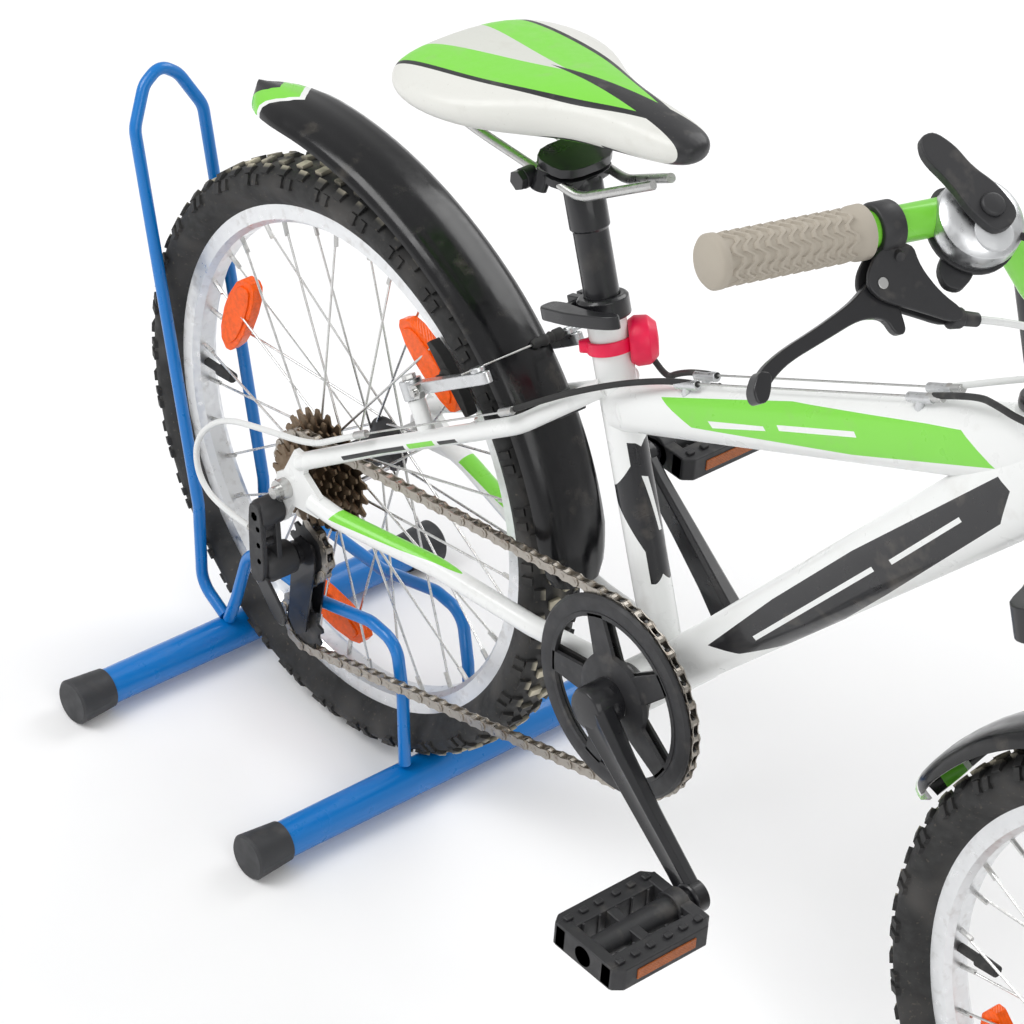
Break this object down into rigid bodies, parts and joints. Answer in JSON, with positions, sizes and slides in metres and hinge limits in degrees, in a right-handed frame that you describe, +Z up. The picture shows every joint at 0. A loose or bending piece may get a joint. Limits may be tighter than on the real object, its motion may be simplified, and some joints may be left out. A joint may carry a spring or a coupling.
{
  "type": "bicycle on stand",
  "caption": "Child's mountain bicycle with suspension fork and derailleur gears, its rear wheel held between the bars and rods of a tubular parking stand.",
  "frame": {"origin": "on the floor, at the middle of the bounding box", "axes": "+X forward along the bicycle, +Y to the rider's left, +Z up"},
  "size_m": [1.3625, 0.5746, 0.895],
  "materials": {
    "stand_blue": "gloss blue paint",
    "black_plastic": "matte moulded",
    "frame_white": "gloss white paint",
    "black_paint": "satin black paint",
    "silver_alloy": "satin",
    "plain_steel": "dull, a little rusty",
    "tyre_rubber": "matte, worn tread",
    "bar_green": "gloss green paint",
    "grip_grey": "matte",
    "lever_black": "satin black",
    "post_black": "satin black",
    "saddle_skin": "padded cover",
    "cable_black": "satin casing",
    "light_pink": "silicone"
  },
  "bodies": {
    "stand": {"stand_bars": "stand_blue", "stand_end_caps": "black_plastic", "stand_hoop": "stand_blue", "stand_rails": "stand_blue"},
    "frame": {"head_tube": "frame_white", "top_tube": "frame_white", "down_tube": "frame_white", "seat_tube": "frame_white", "bottom_bracket_shell": "frame_white", "right_chain_stay": "frame_white", "left_chain_stay": "frame_white", "right_seat_stay": "frame_white", "left_seat_stay": "frame_white", "rear_axle": "plain_steel", "rear_mudguard": "black_plastic", "derailleur_body": "black_plastic", "frame_cables": "cable_black", "seat_collar": "black_paint", "seat_tube_light": "light_pink", "chain": "plain_steel"},
    "rear_wheel": {"rear_tyre": "tyre_rubber", "rear_rim": "silver_alloy", "rear_spokes": "plain_steel", "rear_hub": "silver_alloy"},
    "freewheel": {"freewheel": "plain_steel"},
    "crankset": {"crank_spindle": "plain_steel", "chainring": "plain_steel", "chain_guard": "black_paint", "right_crank": "black_paint", "left_crank": "black_paint"},
    "right_pedal": {"right_pedal": "black_plastic"},
    "left_pedal": {"left_pedal": "black_plastic"},
    "derailleur_cage": {"derailleur_cage": "black_plastic"},
    "guide_pulley": {"guide_pulley": "black_plastic"},
    "tension_pulley": {"tension_pulley": "black_plastic"},
    "steering": {"fork_crown": "black_paint", "stem": "black_paint", "handlebar": "bar_green", "grips": "grip_grey", "lever_clamps": "black_plastic", "shifter_pod": "black_plastic", "front_brake_cable": "cable_black"},
    "right_brake_lever": {"right_brake_lever": "lever_black"},
    "left_brake_lever": {"left_brake_lever": "lever_black"},
    "thumb_lever": {"thumb_lever": "black_plastic"},
    "fork_lowers": {"fork_lowers": "black_paint", "front_axle": "plain_steel", "front_mudguard": "black_plastic"},
    "front_wheel": {"front_tyre": "tyre_rubber", "front_rim": "silver_alloy", "front_spokes": "plain_steel", "front_hub": "silver_alloy"},
    "front_brake_arm_right": {"front_brake_arm_right": "silver_alloy"},
    "front_brake_arm_left": {"front_brake_arm_left": "silver_alloy"},
    "rear_brake_arm_right": {"rear_brake_arm_right": "silver_alloy"},
    "rear_brake_arm_left": {"rear_brake_arm_left": "silver_alloy"},
    "saddle": {"seatpost": "post_black", "saddle_rails": "plain_steel", "saddle_pad": "saddle_skin"},
    "seat_lever": {"seat_lever": "black_plastic"}
  },
  "joints": [
    {"name": "bike_lift", "type": "slide", "parent": "stand", "child": "frame", "axis": [0, 0, 1], "range_m": [0, 0.3]},
    {"name": "rear_wheel_spin", "type": "hinge", "parent": "frame", "child": "rear_wheel", "pos_m": [-0.4155, 0, 0.25002], "axis": [0, 1, 0], "continuous": true},
    {"name": "crank_spin", "type": "hinge", "parent": "frame", "child": "crankset", "pos_m": [-0.0575, 0, 0.27102], "axis": [0, 1, 0], "continuous": true},
    {"name": "freewheel_spin", "type": "hinge", "parent": "frame", "child": "freewheel", "pos_m": [-0.4155, 0, 0.25002], "axis": [0, 1, 0], "continuous": true},
    {"name": "right_pedal_spin", "type": "hinge", "parent": "crankset", "child": "right_pedal", "pos_m": [0.07347, -0.14, 0.19387], "axis": [0, 1, 0], "continuous": true},
    {"name": "left_pedal_spin", "type": "hinge", "parent": "crankset", "child": "left_pedal", "pos_m": [-0.18847, 0.14, 0.34816], "axis": [0, 1, 0], "continuous": true},
    {"name": "cage_swing", "type": "hinge", "parent": "frame", "child": "derailleur_cage", "pos_m": [-0.4195, -0.046, 0.17902], "axis": [0, 1, 0], "range_deg": [-10, 20], "stiffness_Nm_per_rad": 0.4, "deforming": ["chain"]},
    {"name": "guide_pulley_spin", "type": "hinge", "parent": "derailleur_cage", "child": "guide_pulley", "pos_m": [-0.4105, -0.046, 0.18402], "axis": [0, 1, 0], "continuous": true},
    {"name": "tension_pulley_spin", "type": "hinge", "parent": "derailleur_cage", "child": "tension_pulley", "pos_m": [-0.4155, -0.046, 0.11002], "axis": [0, 1, 0], "continuous": true},
    {"name": "steer", "type": "hinge", "parent": "frame", "child": "steering", "pos_m": [0.25814, 0, 0.62567], "axis": [-0.342, 0, 0.9397], "range_deg": [-50, 50], "deforming": ["frame_cables"]},
    {"name": "fork_travel", "type": "slide", "parent": "steering", "child": "fork_lowers", "axis": [-0.342, 0, 0.9397], "range_m": [0, 0.03], "stiffness_N_per_m": 8000, "springref_m": -0.004, "deforming": ["front_brake_cable"]},
    {"name": "front_wheel_spin", "type": "hinge", "parent": "fork_lowers", "child": "front_wheel", "pos_m": [0.4375, 0, 0.244], "axis": [0, 1, 0], "continuous": true},
    {"name": "right_lever_pull", "type": "hinge", "parent": "steering", "child": "right_brake_lever", "pos_m": [0.2499, -0.18494, 0.83294], "axis": [-0.7624, 0.0878, -0.6411], "range_deg": [0, 20], "stiffness_Nm_per_rad": 1.5, "springref_deg": -11.46},
    {"name": "left_lever_pull", "type": "hinge", "parent": "steering", "child": "left_brake_lever", "pos_m": [0.2499, 0.18494, 0.83294], "axis": [0.7624, 0.0878, 0.6411], "range_deg": [0, 20], "stiffness_Nm_per_rad": 1.5, "springref_deg": -11.46},
    {"name": "shift_thumb", "type": "hinge", "parent": "steering", "child": "thumb_lever", "pos_m": [0.26528, -0.11708, 0.86567], "axis": [0.5204, -0.1501, 0.8406], "range_deg": [0, 25], "stiffness_Nm_per_rad": 0.5, "springref_deg": -5.73},
    {"name": "rear_brake_right", "type": "hinge", "parent": "frame", "child": "rear_brake_arm_right", "pos_m": [-0.2815, -0.0436, 0.36362], "axis": [-0.5652, 0, 0.8249], "range_deg": [0, 2.8]},
    {"name": "front_brake_right", "type": "hinge", "parent": "fork_lowers", "child": "front_brake_arm_right", "pos_m": [0.3644, -0.044, 0.40682], "axis": [0.9397, 0, 0.342], "range_deg": [0, 2.8]},
    {"name": "rear_brake_left", "type": "hinge", "parent": "frame", "child": "rear_brake_arm_left", "pos_m": [-0.2815, 0.0436, 0.36362], "axis": [0.5652, 0, -0.8249], "range_deg": [0, 2.8]},
    {"name": "front_brake_left", "type": "hinge", "parent": "fork_lowers", "child": "front_brake_arm_left", "pos_m": [0.3644, 0.044, 0.40682], "axis": [-0.9397, 0, -0.342], "range_deg": [0, 2.8]},
    {"name": "saddle_height", "type": "slide", "parent": "frame", "child": "saddle", "axis": [-0.3567, 0, 0.9342], "range_m": [-0.04, 0.06]},
    {"name": "seat_lever_turn", "type": "hinge", "parent": "frame", "child": "seat_lever", "pos_m": [-0.17955, -0.0253, 0.52253], "axis": [0.3567, 0, -0.9342], "range_deg": [0, 110]}
  ],
  "couplings": [
    {"joint": "freewheel_spin", "follows": "crank_spin", "ratio": 2.1111},
    {"joint": "tension_pulley_spin", "follows": "crank_spin", "ratio": 3.4545},
    {"joint": "guide_pulley_spin", "follows": "crank_spin", "ratio": -3.4545},
    {"joint": "rear_brake_right", "follows": "right_lever_pull", "ratio": 0.14},
    {"joint": "rear_brake_left", "follows": "right_lever_pull", "ratio": 0.14},
    {"joint": "front_brake_right", "follows": "left_lever_pull", "ratio": 0.14},
    {"joint": "front_brake_left", "follows": "left_lever_pull", "ratio": 0.14}
  ]
}
